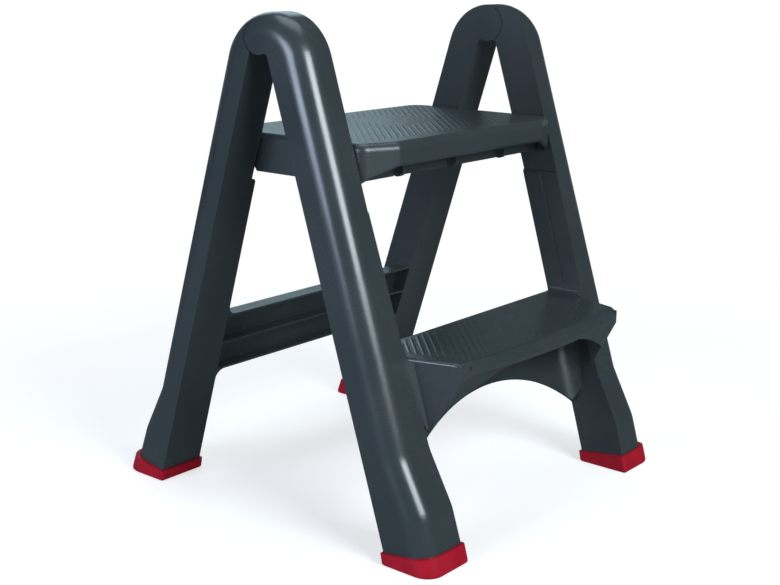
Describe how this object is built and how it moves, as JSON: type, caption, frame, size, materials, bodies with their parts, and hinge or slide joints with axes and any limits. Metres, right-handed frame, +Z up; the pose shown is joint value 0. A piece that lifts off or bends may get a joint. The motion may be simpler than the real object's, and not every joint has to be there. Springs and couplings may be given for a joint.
{
  "type": "folding step stool",
  "caption": "Folding step stool in dark plastic: two A-shaped sides, a lower tread, a hinged platform between them, a rear crossbar and red non-slip feet.",
  "frame": {"origin": "on the floor under the middle of the open stool's outline", "axes": "+Z up, +X along the width to the stool's right-hand side as one climbs it, +Y from the lower tread at the front towards the rear legs"},
  "size_m": [0.469, 0.4938, 0.577],
  "materials": {
    "anthracite_plastic": "semi-gloss, fine moulded texture",
    "foot_rubber": "matte",
    "pin_steel": "plain turned",
    "pin_plastic": "satin"
  },
  "bodies": {
    "front": {"front_frame": "anthracite_plastic", "foot_front_left": "foot_rubber", "foot_front_right": "foot_rubber", "hinge_pin_left": "pin_steel", "hinge_pin_right": "pin_steel", "platform_pin_left": "pin_plastic", "platform_pin_right": "pin_plastic"},
    "rear": {"rear_frame": "anthracite_plastic", "foot_rear_left": "foot_rubber", "foot_rear_right": "foot_rubber"},
    "step_platform": {"platform": "anthracite_plastic"}
  },
  "joints": [
    {"name": "rear_fold", "type": "hinge", "parent": "front", "child": "rear", "pos_m": [0, 0, 0.553], "axis": [-1, 0, 0], "range_deg": [0, 35]},
    {"name": "platform_fold", "type": "hinge", "parent": "front", "child": "step_platform", "pos_m": [0, -0.0746, 0.418], "axis": [1, 0, 0], "range_deg": [0, 71.5]}
  ],
  "couplings": [
    {"joint": "platform_fold", "follows": "rear_fold", "ratio": 2.04}
  ]
}
